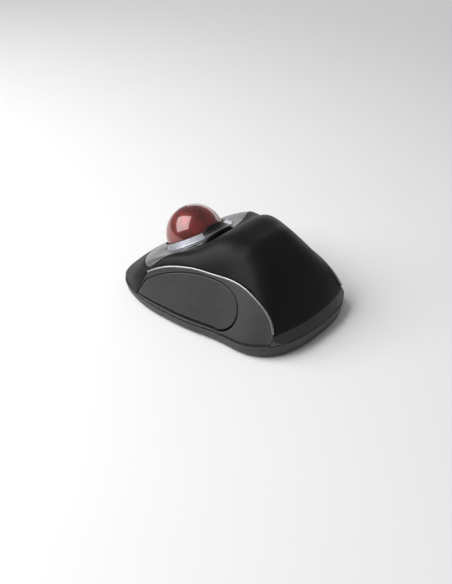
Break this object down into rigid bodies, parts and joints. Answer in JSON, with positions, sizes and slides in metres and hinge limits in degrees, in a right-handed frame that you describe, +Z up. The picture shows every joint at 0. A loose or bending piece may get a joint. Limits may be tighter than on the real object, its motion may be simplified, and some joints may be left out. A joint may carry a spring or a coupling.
{
  "type": "trackball mouse",
  "caption": "Cordless trackball mouse for either hand, with a large front ball in a raised collar, side click keys, touch strips, a battery bay and a stowed radio receiver.",
  "frame": {"origin": "centre of the footprint, on the desk that the feet stand on", "axes": "+Z up, +Y away from the user towards the ball end, +X to the user's right"},
  "size_m": [0.0876, 0.1164, 0.0466],
  "materials": {
    "shell_black": "soft-touch matt black",
    "rim_gray": "satin dark gray",
    "panel_gray": "matt gray with a fine spark grain",
    "trim_silver": "bright plated silver",
    "bezel_gray": "satin metallic gray",
    "strip_silver": "satin silver, faintly blue",
    "socket_black": "matt black",
    "bearing_white": "polished ceramic",
    "board_green": "green solder mask",
    "chip_black": "matt moulded epoxy",
    "lens_clear": "clear moulded lens",
    "tray_dark": "matt charcoal",
    "foot_dark": "matt rubber",
    "screw_steel": "zinc plated",
    "cell_jacket": "printed metal jacket, plain bands",
    "contact_nickel": "bright nickel",
    "can_steel": "bright can",
    "capacitor_tan": "ceramic tan",
    "switch_gray": "matt gray",
    "ball_red": "pearlescent deep red under clear lacquer",
    "key_gray": "matt gray",
    "plunger_white": "matt white",
    "slider_gray": "matt light gray",
    "receiver_black": "matt black",
    "tongue_blue": "matt white insulator"
  },
  "bodies": {
    "case": {"top_shell": "shell_black", "rear_rim_strip": "rim_gray", "left_side_panel": "panel_gray", "right_side_panel": "panel_gray", "left_lip_trim": "trim_silver", "right_lip_trim": "trim_silver", "ball_bezel": "bezel_gray", "left_touch_strip": "strip_silver", "right_touch_strip": "strip_silver", "ball_cup": "socket_black", "bearing_balls": "bearing_white", "sensor_board": "board_green", "optical_sensor": "chip_black", "sensor_lens": "lens_clear", "base_tray": "tray_dark", "feet": "foot_dark", "case_screws": "screw_steel", "battery_cells": "cell_jacket", "battery_contacts": "contact_nickel", "battery_springs": "contact_nickel", "main_board": "board_green", "board_screws": "screw_steel", "controller_chip": "chip_black", "radio_chip": "chip_black", "crystal": "can_steel", "capacitors": "capacitor_tan", "left_microswitch": "switch_gray", "right_microswitch": "switch_gray", "power_switch_body": "switch_gray", "power_board": "board_green"},
    "ball": {"ball": "ball_red"},
    "left_key": {"left_key": "key_gray"},
    "right_key": {"right_key": "key_gray"},
    "left_plunger": {"left_plunger": "plunger_white"},
    "right_plunger": {"right_plunger": "plunger_white"},
    "battery_door": {"battery_door": "tray_dark"},
    "power_slider": {"power_slider": "slider_gray"},
    "receiver": {"receiver_body": "receiver_black", "receiver_shell": "can_steel", "receiver_tongue": "tongue_blue"}
  },
  "joints": [
    {"name": "ball_roll", "type": "hinge", "parent": "case", "child": "ball", "pos_m": [0, 0.0297, 0.0272], "axis": [1, 0, 0], "continuous": true},
    {"name": "left_key_press", "type": "hinge", "parent": "case", "child": "left_key", "pos_m": [-0.0228, 0, 0.0248], "axis": [0, -1, 0], "range_deg": [0, 2.4], "stiffness_Nm_per_rad": 0.2, "springref_deg": -1.72},
    {"name": "right_key_press", "type": "hinge", "parent": "case", "child": "right_key", "pos_m": [0.0228, 0, 0.0248], "axis": [0, 1, 0], "range_deg": [0, 2.4], "stiffness_Nm_per_rad": 0.2, "springref_deg": -1.72},
    {"name": "left_plunger_slide", "type": "slide", "parent": "case", "child": "left_plunger", "axis": [1, 0, 0], "range_m": [0, 0.00065]},
    {"name": "right_plunger_slide", "type": "slide", "parent": "case", "child": "right_plunger", "axis": [-1, 0, 0], "range_m": [0, 0.00065]},
    {"name": "battery_door_hinge", "type": "hinge", "parent": "case", "child": "battery_door", "pos_m": [0, -0.00865, 0.001], "axis": [1, 0, 0], "range_deg": [0, 75]},
    {"name": "power_slide", "type": "slide", "parent": "case", "child": "power_slider", "axis": [1, 0, 0], "range_m": [0, 0.003]},
    {"name": "receiver_pull", "type": "slide", "parent": "case", "child": "receiver", "axis": [0, 0, -1], "range_m": [0, 0.012]}
  ],
  "couplings": [
    {"joint": "left_plunger_slide", "follows": "left_key_press", "m_per_rad": 0.0151},
    {"joint": "right_plunger_slide", "follows": "right_key_press", "m_per_rad": 0.0151}
  ]
}
